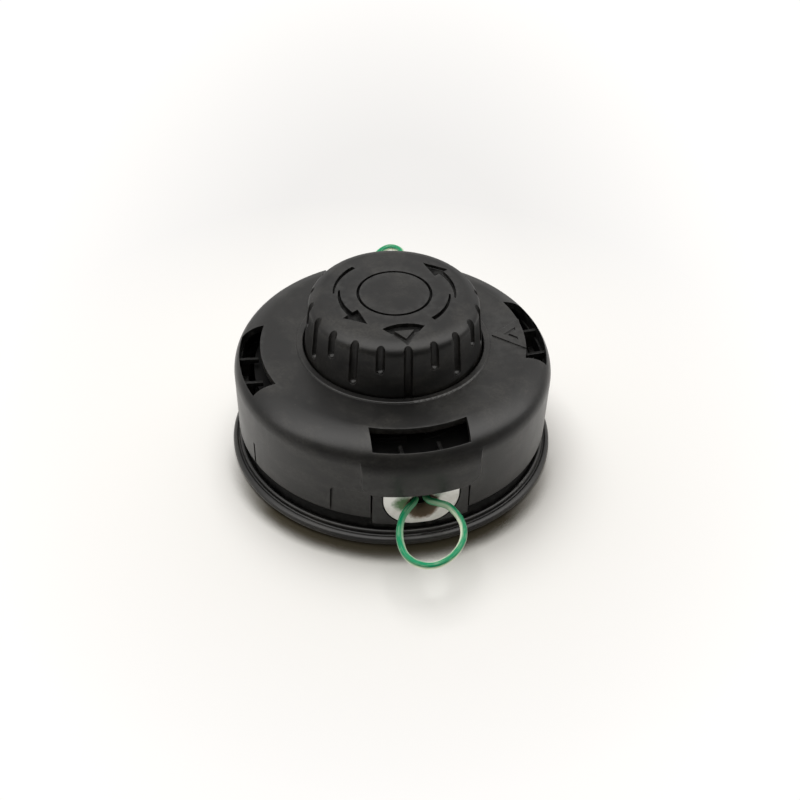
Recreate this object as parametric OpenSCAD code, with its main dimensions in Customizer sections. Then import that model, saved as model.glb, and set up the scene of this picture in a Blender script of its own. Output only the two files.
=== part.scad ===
// Line trimmer head with a bump knob that also winds the line.
// It stands on its drive side: Z = 0 is the resting face of the flange, +Z runs up the
// turning axis to the knob, the front eyelet looks along -Y. All lengths are millimetres.

/* [Base] */
// Diameter over the rolled rim of the flange
flange_d = 112; // [109:1:120]
// Thickness of the rolled rim
flange_t = 3.4; // [3:0.1:3.8]
// Height of the inside floor above the resting face
floor_top = 4; // [3.6:0.1:4.6]
// Thickness of the floor between the ribs of the drive side
floor_t = 2.6; // [2:0.1:3.2]
// Thickness of the wall round the spool
base_wall_t = 2; // [1.6:0.1:2.2]
// Height of the top edge of that wall, which carries the cover
base_wall_top = 29; // [27:0.5:29.5]
// Number of stiffening ribs on the drive side
rib_count = 12; // [8:1:18]
// Thickness of one stiffening rib
rib_t = 2; // [1.4:0.1:3]

/* [Cover] */
// Distance that the flange's rim stands out beyond the cover, on the radius
rim_margin = 1.7; // [1.3:0.1:2.2]
// Height of the flat top above the resting face
cover_top = 42.2; // [41.6:0.1:44]
// Wall thickness of the top and the skirt
cover_t = 2.4; // [2.2:0.1:2.6]
// Radius of the shoulder
shoulder_r = 10; // [8:0.5:11]
// Height of the lower edge of the skirt
skirt_z = 9.8; // [9:0.1:10.6]
// Amount by which the skirt narrows down to its lower edge, on the radius
skirt_draft = 0.7; // [0.3:0.1:1]
// Height of the raised lip round the knob, above the flat top
lip_h = 0.5; // [0.3:0.1:1]
// Width of that lip
lip_w = 2.4; // [1.8:0.1:3]

/* [Cover windows] */
// Number of windows in the shoulder
window_count = 4; // [2:1:6]
// Width of a window, on the radius
window_w = 7.2; // [5:0.1:7.8]
// Distance between the two parallel ends of a window
window_l = 32; // [24:0.5:36]
// Distance between a gusset and the middle of its window
gusset_x = 6.3; // [4:0.1:9]
// Thickness of a gusset
gusset_t = 1.2; // [0.8:0.1:2]
// Half of the angle between the two slits beside a latch tongue
tongue_half = 20; // [16:1:24]
// Height of the upper end of those slits
slit_top = 19.4; // [17:0.2:22]
// Width of a slit
slit_w = 0.9; // [0.6:0.1:1.5]

/* [Eyelet bay] */
// Width of the boss that stands in the skirt's notch
boss_w = 32; // [30:0.5:34]
// Gap between the boss and the notch
boss_gap = 0.4; // [0.2:0.05:0.6]
// Height of the lower edge of the visor over the eyelet
visor_z = 21.6; // [21.4:0.1:23]
// Amount by which the visor stands out from the shoulder
visor_proud = 0.9; // [0.5:0.1:1.4]
// Half of the angle that the visor spans
visor_half = 20.4; // [19:0.1:24]
// Width of the thumb recess beside the boss
recess_w = 12.6; // [9:0.1:17]
// Depth of the thumb recess
recess_depth = 0.6; // [0.2:0.1:0.7]

/* [Eyelet] */
// Width of the face plate
eyelet_w = 25.4; // [24:0.2:27]
// Radius of the lower corners of the face plate
eyelet_corner_r = 10; // [8:0.2:11]
// Height of the middle of the hole
eyelet_z = 15.9; // [15.6:0.1:16]
// Distance from the middle of the hole to the lower edge of the plate
eyelet_drop = 7.7; // [7:0.1:7.8]
// Radius of the straight bore
eyelet_bore_r = 3.8; // [3.4:0.1:4.2]
// Radius of the mouth
eyelet_mouth_r = 5.2; // [4.8:0.1:5.3]

/* [Knob] */
// Diameter of the knob where it enters the cover
knob_d = 60.2; // [57:0.2:62]
// Height of the edge of the knob's top above the resting face
knob_top = 62; // [58:0.5:66]
// Height of the dome on the top
knob_dome = 0.8; // [0.4:0.1:1.2]
// Radius of the knob's shoulder
knob_round = 5; // [4:0.5:6]
// Amount by which the knob narrows up to its shoulder, on the radius
knob_draft = 1.3; // [0.8:0.1:2]
// Wall thickness of the knob
knob_t = 2.6; // [2.4:0.1:3]
// Gap on the radius between the knob and the lip of the cover
knob_gap = 0.5; // [0.3:0.05:0.8]
// Number of grip grooves, long and short in turn
groove_count = 20; // [16:2:24]
// Width of a grip groove
groove_w = 3; // [2.2:0.1:3.4]
// Depth of a grip groove
groove_depth = 1.6; // [1.1:0.1:1.7]
// Distance from the knob's top down to the lower end of a long groove
groove_long = 17; // [15:0.5:18]
// Distance from the knob's top down to the lower end of a short groove
groove_short = 11; // [9:0.5:13]
// Angle by which the index mark stands away from the front eyelet
index_turn = -1.4; // [-18:0.2:18]
// Depth of the marks in the top
mark_depth = 1.2; // [0.4:0.1:1.4]

/* [Spool] */
// Gap on the radius between the spool and the wall round it
spool_gap = 2.1; // [1.9:0.1:4.6]
// Thickness of the outer flanges
spool_flange_t = 2; // [1.6:0.1:2.4]
// Thickness of the middle flange
middle_flange_t = 1.5; // [1.2:0.1:2]
// Clear height of the lower line channel
lower_channel = 8; // [7:0.1:8]
// Clear height of the upper line channel
upper_channel = 7; // [6:0.1:7]
// Outer radius of the core that the line is wound on
core_r = 24.5; // [24.3:0.1:27]
// Wall thickness of the core
core_t = 2; // [1.6:0.1:2]
// Travel of the knob and spool when the head is bumped
press_travel = 5; // [3:0.5:5]
// Number of ratchet teeth
tooth_count = 12; // [8:1:16]
// Width of the ring of ratchet teeth
tooth_w = 5; // [4:0.5:6]
// Height of the ratchet teeth
tooth_h = 2; // [1.2:0.1:2]
// Gap left between facing teeth and between the thrust faces
tooth_gap = 0.3; // [0.2:0.05:0.5]

/* [Drive] */
// Width across flats of the drive nut
nut_flats = 17; // [16:0.5:18]
// Height of the drive nut
nut_h = 8; // [6:0.2:8]
// Radius of the nut's threaded hole, at the crests of the thread
thread_r = 4.32; // [4.2:0.02:4.5]
// Radius of the shaft's clearance bore in the hub
shaft_r = 5.3; // [5.2:0.1:6]
// Outer radius of the steel sleeve on the hub
sleeve_r = 10.2; // [10:0.1:10.4]
// Wall thickness of the sleeve
sleeve_t = 0.8; // [0.6:0.1:1]
// Running clearance on the sleeve, on the radius
run_gap = 0.08; // [0.03:0.01:0.1]
// Diameter of the spring's wire
wire_d = 1.8; // [1.2:0.1:1.8]
// Middle radius of the spring's coils
coil_r = 12.2; // [12:0.1:12.4]
// Number of turns of the spring
coil_turns = 5; // [3:0.5:5]

/* [Line] */
// Diameter of the cutting line
line_d = 2.4; // [2:0.1:2.7]
// Outer radius of the two windings
winding_r = 39; // [30:0.5:44]

/* [Hidden] */
$fn = 96;
eps = 0.01;
far = 200;

black_plastic = [0.20, 0.20, 0.195];
dark_plastic = [0.13, 0.13, 0.128];
bright_metal = [0.80, 0.80, 0.79];
steel = [0.58, 0.59, 0.60];
line_green = [0.10, 0.60, 0.38];

// Radii of the cover
flange_r = flange_d / 2;
cover_r = flange_r - rim_margin;
cover_in_r = cover_r - cover_t;
skirt_r = cover_r - skirt_draft;
shoulder_x = cover_r - shoulder_r;
shoulder_z = cover_top - shoulder_r;
lip_r = knob_d / 2 + knob_gap;
cover_ceiling = cover_top - cover_t;
// depth to which ribs, hooks and the visor run into the shell that carries them
root = 0.5;
visor_r = cover_r + visor_proud;
visor_bevel = 2.4;
visor_in_r = cover_in_r + 2 * root;
visor_round = 12;
visor_arc_z = shoulder_z - 2.7;
visor_corner_x = boss_w / 2 + 0.2;
visor_corner_w = 4.7;
visor_corner_h = 3.6;
skirt_round = 1.2;

// Windows of the cover, cut a little way into the wall of the skirt
window_bite = 0.5;
window_out_r = cover_in_r + window_bite;
window_in_r = window_out_r - window_w;
gusset_in = window_in_r + 0.3;
gusset_top = shoulder_z + 4;
gusset_h = 2;
recess_corner_r = 2.2;

// Hooks of the latch tongues and the clearance round them
hook_w = 10;
hook_z = 11.4;
hook_h = 3.6;
hook_reach = 1.2;
hook_gap = 0.8;

// Radii of the base
seat_gap = 0.3;
base_r = cover_in_r - seat_gap;
base_in_r = base_r - base_wall_t;
boss_proud = 0.1;
boss_face_r = skirt_r + boss_proud;
boss_top = visor_z - seat_gap;
boss_z = floor_top + 4;
bead_r = 0.75;
bead_x = base_r + 0.5 + bead_r;
rim_groove_r = 0.5;

// Drive stack, from the resting face up
nut_sink = 0.3;
washer_t = 1;
nut_z = nut_sink + washer_t;
nut_top = nut_z + nut_h;
step_r = 15.6;
step_top = nut_top + 1.5;
hub_r = sleeve_r - sleeve_t;
hub_cap_t = 3;
seat_washer_r = step_r - 1;
spring_z = step_top + washer_t;

// Spool stack
spool_r = base_in_r - spool_gap;
dog_h = 1.9;
dog_base_h = 1.3;
spool_z = floor_top + dog_base_h + tooth_gap + press_travel + dog_h;
lower_z = spool_z + spool_flange_t;
middle_z = lower_z + lower_channel;
upper_z = middle_z + middle_flange_t;
spool_top_z = upper_z + upper_channel;
spool_top = spool_top_z + spool_flange_t;
core_in_r = core_r - core_t;
web_t = 2.6;
web_top = spool_top - 1.8;
web_z = web_top - web_t;
cup_t = 1.2;
cup_rim_t = 1;
cup_rim_h = 1.2;
cup_r = coil_r + wire_d / 2 + 0.3 + cup_rim_t;
cup_z = web_z - cup_t;
bearing_t = 2.6;
bearing_in_r = sleeve_r + run_gap;
hub_top = spool_top + 2;
collar_r = lip_r + lip_w;
tooth_in_r = collar_r + 3;
tooth_out_r = tooth_in_r + tooth_w;
ratchet_land = 0.3;
dog_in_r = core_r + 5.5;
dog_out_r = dog_in_r + 5;
notch_depth = 3.5;
collar_z = spool_top + tooth_h + tooth_gap + 0.4;
ratchet_z = spool_top + 2 * tooth_h + tooth_gap;

// Knob
knob_r = knob_d / 2;
knob_z = spool_top;
knob_arc_z = knob_top - knob_round;
knob_neck_r = knob_r - knob_draft;
knob_arc_x = knob_neck_r - knob_round;
knob_in_r = knob_neck_r - knob_t;
// the knob's foot is straight up to the lip, and its draft starts there
foot_top = cover_top + 2 * lip_h;
draft_angle = atan(knob_draft / (knob_arc_z - foot_top));
dome_r = (pow(knob_arc_x, 2) + pow(knob_dome, 2)) / (2 * knob_dome);
spigot_gap = 0.2;
spigot_t = 2.4;
spigot_h = 3.4;
screw_pitch_r = 18.4;
screw_count = 3;
screw_r = 1.9;
screw_hole_r = 2.2;
screw_head_r = 3.1;
screw_head_h = 2.2;
screw_l = 14;
screw_boss_r = 3.8;
socket_r = 1.3;
socket_depth = 1.2;
knob_roof = knob_top - knob_t;

// Marks in the knob's top: two turning arrows, an index triangle and a ring
arrow_r = knob_arc_x - 4.5;
arrow_step = 1.8;
arrow_from = 34;
arrow_neck = 79;
arrow_overlap = 3;
arrow_to = 124;
arrow_tip = 143;
arrow_tail_w = 1.7;
arrow_neck_w = 0.5;
arrow_wide_w = 2.2;
arrow_barb = 3.2;
index_tip_r = knob_arc_x + 2.8;
index_base_r = knob_arc_x - 5.4;
index_half_w = 7;
index_bulge = 1.8;
index_stroke = 1.6;
emblem_r = 12.6;
emblem_w = 0.9;

// Eyelet
eyelet_gap = 0.35;
plate_in = base_r - 0.5;
neck_r = 6.9;
inner_flange_r = 8.6;
mouth_l = 3.2;
eyelet_in = base_in_r - 1.2;

// Raised triangle on the cover, with a chevron sunk in it
pointer_angle = 86;
pointer_tip_r = collar_r + 0.9;
pointer_base_r = shoulder_x + 0.3;
pointer_half_w = 8.4;
pointer_h = 0.45;
chevron_base_r = pointer_base_r - 2.2;
chevron_l = 4.4;
chevron_half_w = 3.4;
chevron_depth = 0.6;

// Points of the line's two loops, from one end in the eyelet round to the other
front_route = [
    [-1.7, -50.5, 16.4], [-2.6, -52.6, 16.8], [-5.1, -55.6, 17.1], [-7.6, -59.2, 17.1],
    [-9.4, -64, 16.8], [-10.2, -69, 16.3], [-9.7, -73.9, 15.7], [-7.6, -77.3, 15.1],
    [-4.3, -79.3, 14.8], [-0.6, -79.6, 14.8], [3.4, -78.1, 15.1], [6.9, -75.3, 15.5],
    [9.5, -71.6, 16], [10.8, -67.2, 16.3], [10.7, -63.4, 16.7], [9.6, -60, 17.2],
    [7.7, -57.2, 17.8], [4.9, -55.4, 17.9], [2.6, -53.2, 17.3], [1.7, -50.5, 16.5]];
rear_route = [
    [-1.7, 50.5, 16.2], [-2.4, 53, 16.6], [-3.6, 58, 17.2], [-2.8, 65, 17.8],
    [0.6, 73.5, 18], [5.6, 81, 18], [9.8, 86, 17.8], [12.6, 89, 17.7],
    [15.7, 90.5, 17.6], [18.6, 89.2, 17.6], [19.8, 85.4, 17.8], [17.6, 77.5, 18],
    [13, 68.6, 18], [8, 60.5, 17.4], [3.8, 55, 16.9], [2.2, 52.6, 16.5], [1.7, 50.5, 16.2]];

// A point on a circle about the axis, at an angle measured from -Y towards +X
function polar(r, a) = [r * sin(a), -r * cos(a)];

// Outline of an arc that swells from one width to another
function crescent(r, a0, a1, w0, w1, n = 12) = concat(
    [for (i = [0:n]) polar(r + (w0 + (w1 - w0) * i / n) / 2, a0 + (a1 - a0) * i / n)],
    [for (i = [n:-1:0]) polar(r - (w0 + (w1 - w0) * i / n) / 2, a0 + (a1 - a0) * i / n)]);

// Smooth curve through a list of points
function unit(v) = v / norm(v);
function spline_point(a, b, c, d, t) = 0.5 * (2 * b + (c - a) * t
    + (2 * a - 5 * b + 4 * c - d) * t * t + (3 * b - a - 3 * c + d) * t * t * t);
function smooth(p, steps) = concat(
    [for (i = [0:len(p) - 2], k = [0:steps - 1])
        spline_point(p[max(i - 1, 0)], p[i], p[i + 1], p[min(i + 2, len(p) - 1)], k / steps)],
    [p[len(p) - 1]]);

// Round tube swept along points that never run upright
function tangent(p, i) = unit(p[min(i + 1, len(p) - 1)] - p[max(i - 1, 0)]);
function ring(p, i, r, sides) =
    let (t = tangent(p, i), side = unit(cross(t, [0, 0, 1])), up = cross(side, t))
    [for (k = [0:sides - 1]) p[i] + r * (cos(360 * k / sides) * side + sin(360 * k / sides) * up)];

module tube(p, r, sides = 8) {
    last = len(p) - 1;
    points = [for (i = [0:last]) each ring(p, i, r, sides)];
    walls = [for (i = [0:last - 1], k = [0:sides - 1])
        [i * sides + k, i * sides + (k + 1) % sides,
         (i + 1) * sides + (k + 1) % sides, (i + 1) * sides + k]];
    ends = [[for (k = [sides - 1:-1:0]) k], [for (k = [0:sides - 1]) last * sides + k]];
    polyhedron(points, concat(walls, ends));
}

// Ring between two radii
module washer(r_in, r_out, h) {
    difference() {
        cylinder(r = r_out, h = h);
        translate([0, 0, -eps]) cylinder(r = r_in, h = h + 2 * eps);
    }
}

// Triangle that points at the axis from the front
module inward_triangle(tip_r, base_r, half_w) {
    polygon([[0, -tip_r], [-half_w, -base_r], [half_w, -base_r]]);
}

// Both sides of the head: front and rear
module front_and_rear() {
    for (a = [0, 180]) rotate([0, 0, a]) children();
}

// Ring of ratchet teeth that rise anticlockwise, standing on Z = 0
module ratchet_ring() {
    span = 360 / tooth_count * 0.86;
    mid_r = tooth_in_r + tooth_w / 2;
    // the ramp starts below the ring's face, so that the teeth rise out of it
    start = 0.3;
    tilt = atan((tooth_h + start) / (mid_r * sin(span)));
    for (i = [0:tooth_count - 1])
        rotate([0, 0, i * 360 / tooth_count])
            intersection() {
                rotate_extrude(angle = span)
                    translate([tooth_in_r, -2 * start]) square([tooth_w, tooth_h + 2 * start]);
                translate([0, 0, -start])
                    rotate([tilt, 0, 0])
                        translate([-1, -tooth_out_r, -2 * tooth_out_r])
                            cube([2 * tooth_out_r, 3 * tooth_out_r, 2 * tooth_out_r]);
            }
}

// Ring of plain dogs standing on Z = 0
module dog_ring(h) {
    half_pitch = 180 / tooth_count;
    for (i = [0:tooth_count - 1])
        rotate([0, 0, i * 2 * half_pitch])
            rotate_extrude(angle = half_pitch * 0.8)
                translate([dog_in_r, -root]) square([dog_out_r - dog_in_r, h + root]);
}

// Upright outline of the eyelet's face plate, seen from the front, grown by a gap
module plate_outline(grow, top) {
    flat = eyelet_w / 2 - eyelet_corner_r;
    corner_z = eyelet_z - eyelet_drop + eyelet_corner_r;
    intersection() {
        union() {
            for (side = [-1, 1])
                translate([side * flat, corner_z]) circle(r = eyelet_corner_r + grow);
            translate([-flat, corner_z - eyelet_corner_r - grow]) square([2 * flat, far]);
            translate([-eyelet_w / 2 - grow, corner_z]) square([eyelet_w + 2 * grow, far]);
        }
        translate([-far, 0]) square([2 * far, top]);
    }
}

// Upright U round the hole, open upwards
module u_outline(r, top) {
    translate([0, eyelet_z]) circle(r = r);
    translate([-r, eyelet_z]) square([2 * r, top - eyelet_z]);
}

// Turns an upright outline into a block between two distances in front of the axis
module upright(near, away) {
    translate([0, -near, 0]) rotate([90, 0, 0]) linear_extrude(away - near) children();
}

module base_profile() {
    difference() {
        union() {
            square([flange_r - flange_t / 2, flange_t]);
            square([base_r, floor_top]);
            translate([flange_r - flange_t / 2, flange_t / 2]) circle(d = flange_t, $fn = 48);
            translate([base_in_r, 0]) square([base_wall_t, base_wall_top]);
            translate([bead_x - bead_r, 0]) square([2 * bead_r, floor_top]);
            translate([bead_x, floor_top]) circle(r = bead_r, $fn = 32);
        }
        // grooves outside and inside the bead
        translate([bead_x + bead_r + rim_groove_r, flange_t]) circle(r = rim_groove_r, $fn = 32);
        translate([base_r, flange_t - 0.4]) square([bead_x - bead_r - base_r, 2]);
    }
}

module eyelet_boss() {
    intersection() {
        rotate_extrude()
            translate([base_in_r, boss_z]) square([boss_face_r - base_in_r, boss_top - boss_z]);
        translate([-boss_w / 2, -far, 0]) cube([boss_w, far, base_wall_top]);
    }
}

module eyelet_bay() {
    upright(plate_in - eyelet_gap, flange_r) plate_outline(eyelet_gap, base_wall_top + 1);
    upright(base_in_r - 4, flange_r) u_outline(neck_r + 0.15, base_wall_top + 1);
}

// Shallow pockets of the drive side, with ribs left between them
module drive_side_pockets() {
    linear_extrude(2 * (floor_top - floor_t), center = true)
        difference() {
            circle(r = base_in_r);
            circle(r = step_r + rib_t);
            for (i = [0:rib_count - 1])
                rotate([0, 0, (i + 0.5) * 360 / rib_count]) translate([-rib_t / 2, -far]) square([rib_t, far]);
        }
}

// Windows in the wall that the hooks of the latch tongues snap into
module hook_windows() {
    for (side = [-1, 1])
        translate([side * base_r, 0, hook_z + hook_h / 2])
            cube([2 * base_wall_t + 2, hook_w + 4, hook_h + 2 * hook_gap], center = true);
}

module base_housing() color(black_plastic) {
    difference() {
        union() {
            rotate_extrude() base_profile();
            cylinder(r = step_r, h = step_top);
            cylinder(r = hub_r, h = hub_top);
            front_and_rear() eyelet_boss();
            translate([0, 0, floor_top]) dog_ring(dog_base_h);
        }
        front_and_rear() eyelet_bay();
        drive_side_pockets();
        translate([0, 0, -eps]) cylinder(r = shaft_r, h = hub_top - hub_cap_t);
        translate([0, 0, -eps]) cylinder(d = nut_flats / cos(30), h = nut_top + eps, $fn = 6);
        hook_windows();
    }
}

module drive_nut() color(steel) {
    translate([0, 0, nut_z])
        difference() {
            cylinder(d = nut_flats / cos(30), h = nut_h, $fn = 6);
            translate([0, 0, -eps]) cylinder(r = thread_r, h = nut_h + 2 * eps);
        }
}

module nut_washer() color(steel) {
    translate([0, 0, nut_sink]) washer(shaft_r, nut_flats / 2, washer_t);
}

module hub_sleeve() color(steel) {
    translate([0, 0, step_top]) washer(hub_r, sleeve_r, hub_top - step_top);
}

module spring_washer() color(steel) {
    translate([0, 0, step_top]) washer(sleeve_r + 0.1, seat_washer_r, washer_t);
}

module spring() color(steel) {
    wire_r = wire_d / 2;
    rise = cup_z - spring_z - wire_d;
    steps = 22;
    total = coil_turns * steps;
    // the first and last turns lie flat, the rest climb evenly
    climb = [for (i = [0:total]) max(0, min(1, (i / steps - 0.8) / (coil_turns - 1.6)))];
    path = [for (i = [0:total])
        [coil_r * cos(360 * i / steps), coil_r * sin(360 * i / steps),
         spring_z + wire_r + rise * climb[i]]];
    tube(path, wire_r);
}

module thrust_cup() color(bright_metal) {
    translate([0, 0, cup_z]) washer(bearing_in_r, cup_r, cup_t);
    translate([0, 0, cup_z - cup_rim_h]) washer(cup_r - cup_rim_t, cup_r, cup_rim_h + eps);
}

module spool_profile() {
    translate([core_in_r, spool_z]) square([spool_r - core_in_r, spool_flange_t]);
    translate([core_in_r, middle_z]) square([spool_r - core_in_r, middle_flange_t]);
    translate([core_in_r, spool_top_z]) square([spool_r - core_in_r, spool_flange_t]);
    translate([core_in_r, spool_z]) square([core_t, spool_top - spool_z]);
    translate([bearing_in_r, web_z]) square([core_in_r + eps - bearing_in_r, web_t]);
    translate([bearing_in_r, web_z]) square([bearing_t, hub_top - web_z]);
    // ring that centres the knob, and the thrust ring under the cover
    translate([knob_in_r - spigot_gap - spigot_t, spool_top - eps]) square([spigot_t, spigot_h]);
    translate([lip_r + 0.3, spool_top - eps])
        square([lip_w - 0.3, collar_z - tooth_gap - spool_top + eps]);
}

module spool() color(dark_plastic) {
    difference() {
        union() {
            rotate_extrude() spool_profile();
            translate([0, 0, spool_top]) ratchet_ring();
            translate([0, 0, spool_z]) mirror([0, 0, 1]) dog_ring(dog_h);
        }
        for (i = [0:screw_count - 1])
            rotate([0, 0, i * 360 / screw_count])
                translate([0, screw_pitch_r, web_z - 1]) cylinder(r = screw_hole_r, h = web_t + 2, $fn = 32);
        // notches that park the line's ends on the middle flange
        front_and_rear()
            translate([0, -spool_r, middle_z + middle_flange_t / 2])
                cube([line_d + 0.2, 2 * notch_depth, 2 * middle_flange_t], center = true);
    }
}

// Line wound between two flanges: the outer turns show as ridges
module winding(z, h) {
    turns = floor(h / line_d);
    pitch = h / turns;
    translate([0, 0, z])
        rotate_extrude() {
            translate([core_r, 0]) square([winding_r - line_d / 2 - core_r, h]);
            for (i = [0:turns - 1])
                translate([winding_r - line_d / 2, (i + 0.5) * pitch]) circle(d = line_d, $fn = 24);
        }
}

module lower_winding() color(line_green) {
    winding(lower_z, lower_channel);
}

module upper_winding() color(line_green) {
    winding(upper_z, upper_channel);
}

module knob_profile() {
    difference() {
        union() {
            polygon([[0, knob_z], [knob_r, knob_z], [knob_r, foot_top], [knob_neck_r, knob_arc_z],
                     [0, knob_arc_z]]);
            translate([knob_arc_x, knob_arc_z]) circle(r = knob_round);
            square([knob_arc_x, knob_top]);
            intersection() {
                translate([0, knob_top]) square([knob_arc_x, 2 * knob_dome]);
                translate([0, knob_top + knob_dome - dome_r]) circle(r = dome_r, $fn = 1440);
            }
        }
        translate([-far, 0]) square([far, far]);
        square([far, knob_z]);
        square([knob_in_r, knob_roof]);
    }
}

// One grip groove in the front of the knob: round in section and at its lower end
module groove(length) {
    low = knob_round + groove_w / 2 - length;
    translate([0, groove_depth - knob_neck_r - groove_w / 2, knob_arc_z])
        rotate([-draft_angle, 0, 0]) {
            translate([0, 0, low]) cylinder(d = groove_w, h = 2 * knob_round - low, $fn = 32);
            translate([0, 0, low]) sphere(d = groove_w, $fn = 32);
        }
}

// One turning mark, anticlockwise: a tail arc and a head arc that overlap, and a head
module turning_arrow(tail_r, head_r) {
    polygon(crescent(tail_r, arrow_from, arrow_neck + arrow_overlap, arrow_tail_w, arrow_neck_w));
    polygon(crescent(head_r, arrow_neck - arrow_overlap, arrow_to, arrow_neck_w, arrow_wide_w));
    polygon([polar(head_r - arrow_barb, arrow_to - 6), polar(head_r + arrow_barb, arrow_to - 4),
             polar(head_r + arrow_neck_w, arrow_tip)]);
}

// Triangle that points at the knob's edge, with a base that bulges towards the middle
module index_triangle() {
    polygon([[0, -index_tip_r],
             for (t = [1:-0.25:-1]) [index_half_w * t, index_bulge * (1 - t * t) - index_base_r]]);
}

module knob_marks() {
    // the turning marks mirror each other's radii: tail outside on one, inside on the other
    rotate([0, 0, 180]) turning_arrow(arrow_r + arrow_step / 2, arrow_r - arrow_step / 2);
    turning_arrow(arrow_r - arrow_step / 2, arrow_r + arrow_step / 2);
    difference() {
        index_triangle();
        inward_triangle(index_tip_r - 1.6 * index_stroke, index_base_r + index_stroke,
                        index_half_w - 2.3 * index_stroke);
    }
    difference() {
        circle(r = emblem_r);
        circle(r = emblem_r - emblem_w);
    }
}

module bump_knob() color(dark_plastic) {
    difference() {
        union() {
            rotate_extrude() knob_profile();
            for (i = [0:screw_count - 1])
                rotate([0, 0, i * 360 / screw_count])
                    translate([0, screw_pitch_r, web_top])
                        cylinder(r = screw_boss_r, h = knob_roof - web_top + eps, $fn = 32);
        }
        for (i = [0:groove_count - 1])
            rotate([0, 0, index_turn + i * 360 / groove_count])
                groove(i == 0 ? knob_top - cover_top + 2 : i % 2 == 0 ? groove_long : groove_short);
        translate([0, 0, knob_top - mark_depth]) rotate([0, 0, index_turn]) linear_extrude(4) knob_marks();
        for (i = [0:screw_count - 1])
            rotate([0, 0, i * 360 / screw_count])
                translate([0, screw_pitch_r, web_top - 1]) cylinder(r = screw_r, h = screw_l, $fn = 32);
    }
}

module knob_screws() color(steel) {
    for (i = [0:screw_count - 1])
        rotate([0, 0, i * 360 / screw_count])
            translate([0, screw_pitch_r, web_z]) {
                cylinder(r = screw_r, h = screw_l, $fn = 32);
                difference() {
                    translate([0, 0, -screw_head_h]) cylinder(r = screw_head_r, h = screw_head_h, $fn = 32);
                    translate([0, 0, -screw_head_h - eps]) cylinder(r = socket_r, h = socket_depth, $fn = 6);
                }
            }
}

module cover_profile() {
    difference() {
        union() {
            translate([shoulder_x, shoulder_z]) circle(r = shoulder_r);
            square([shoulder_x, cover_top]);
            polygon([[0, skirt_z], [skirt_r - skirt_round, skirt_z], [skirt_r, skirt_z + skirt_round],
                     [cover_r, shoulder_z], [0, shoulder_z]]);
            translate([skirt_r - skirt_round, skirt_z + skirt_round]) circle(r = skirt_round, $fn = 48);
        }
        translate([shoulder_x, shoulder_z]) circle(r = shoulder_r - cover_t);
        square([shoulder_x, cover_ceiling]);
        square([cover_in_r, shoulder_z]);
        square([lip_r, far]);
        translate([-far, -far]) square([far, 2 * far]);
    }
    // collar that guides the knob, its lip, and the small groove round the lip
    translate([lip_r, collar_z]) square([lip_w, cover_top - collar_z]);
    translate([lip_r + lip_h, cover_top - eps]) square([lip_w - 2 * lip_h, lip_h + eps]);
    for (x = [lip_r + lip_h, collar_r - lip_h])
        translate([x, cover_top]) circle(r = lip_h, $fn = 32);
}

module visor() {
    intersection() {
        rotate_extrude() {
            translate([visor_in_r, visor_z]) square([visor_r - visor_in_r, visor_arc_z - visor_z]);
            intersection() {
                translate([visor_r - visor_round, visor_arc_z]) circle(r = visor_round);
                translate([visor_in_r, visor_arc_z - eps]) square(visor_round);
            }
        }
        // its lower corners are cut off at a slant
        upright(0, far)
            polygon([[-visor_corner_x - far * visor_corner_w, far * visor_corner_h], [-visor_corner_x, visor_z],
                     [visor_corner_x, visor_z], [visor_corner_x + far * visor_corner_w, far * visor_corner_h]]);
        // the ends of the visor are bevelled into the skirt
        linear_extrude(far)
            polygon([[0, 0], polar(skirt_r - root, -visor_half - visor_bevel), polar(visor_r + 0.2, -visor_half),
                     polar(far, -visor_half), [0, -far], polar(far, visor_half),
                     polar(visor_r + 0.2, visor_half), polar(skirt_r - root, visor_half + visor_bevel)]);
    }
}

module cover_windows() {
    for (i = [0:window_count - 1])
        rotate([0, 0, i * 360 / window_count])
            intersection() {
                translate([0, 0, shoulder_z + 1]) washer(window_in_r, window_out_r, shoulder_r);
                translate([-window_l / 2, -far, 0]) cube([window_l, far, far]);
            }
}

// Ribs between the skirt and the top edge of the base's wall, with a toe under the window
module gussets() {
    for (i = [0:window_count - 1], side = [-1, 1])
        rotate([0, 0, i * 360 / window_count])
            translate([side * gusset_x + gusset_t / 2, 0, 0])
                rotate([90, 0, -90])
                    linear_extrude(gusset_t)
                        polygon([[window_out_r, base_wall_top], [window_out_r, gusset_top],
                                 [gusset_in, gusset_top - root], [gusset_in, gusset_top - gusset_h],
                                 [base_in_r - 2 * root, gusset_top - gusset_h],
                                 [base_in_r - 2 * root, base_wall_top]]);
}

module cover_notch() {
    translate([-boss_w / 2 - boss_gap, -far, 0]) cube([boss_w + 2 * boss_gap, far, visor_z]);
}

module thumb_recess() {
    x0 = -boss_w / 2 - boss_gap - recess_w;
    low = skirt_z - 1;
    intersection() {
        upright(0, far) {
            translate([x0 + recess_corner_r, low]) square([recess_w + 1 - recess_corner_r, visor_z - low]);
            translate([x0, low]) square([recess_corner_r + eps, visor_z - recess_corner_r - low]);
            translate([x0 + recess_corner_r, visor_z - recess_corner_r]) circle(r = recess_corner_r);
        }
        translate([0, 0, -eps]) washer(skirt_r - recess_depth, far, far);
    }
}

module tongue_slits() {
    for (side = [-1, 1], edge = [-1, 1])
        rotate([0, 0, side * 90 + edge * tongue_half])
            translate([-slit_w / 2, -far, 0]) cube([slit_w, far, slit_top]);
}

module tongue_hooks() {
    for (side = [-1, 1])
        rotate([0, 0, side * 90])
            translate([hook_w / 2, -cover_in_r - root, 0])
                rotate([90, 0, -90])
                    linear_extrude(hook_w)
                        polygon([[0, hook_z], [-hook_reach - root, hook_z + hook_h / 2],
                                 [-hook_reach - root, hook_z + hook_h], [0, hook_z + hook_h]]);
}

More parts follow.
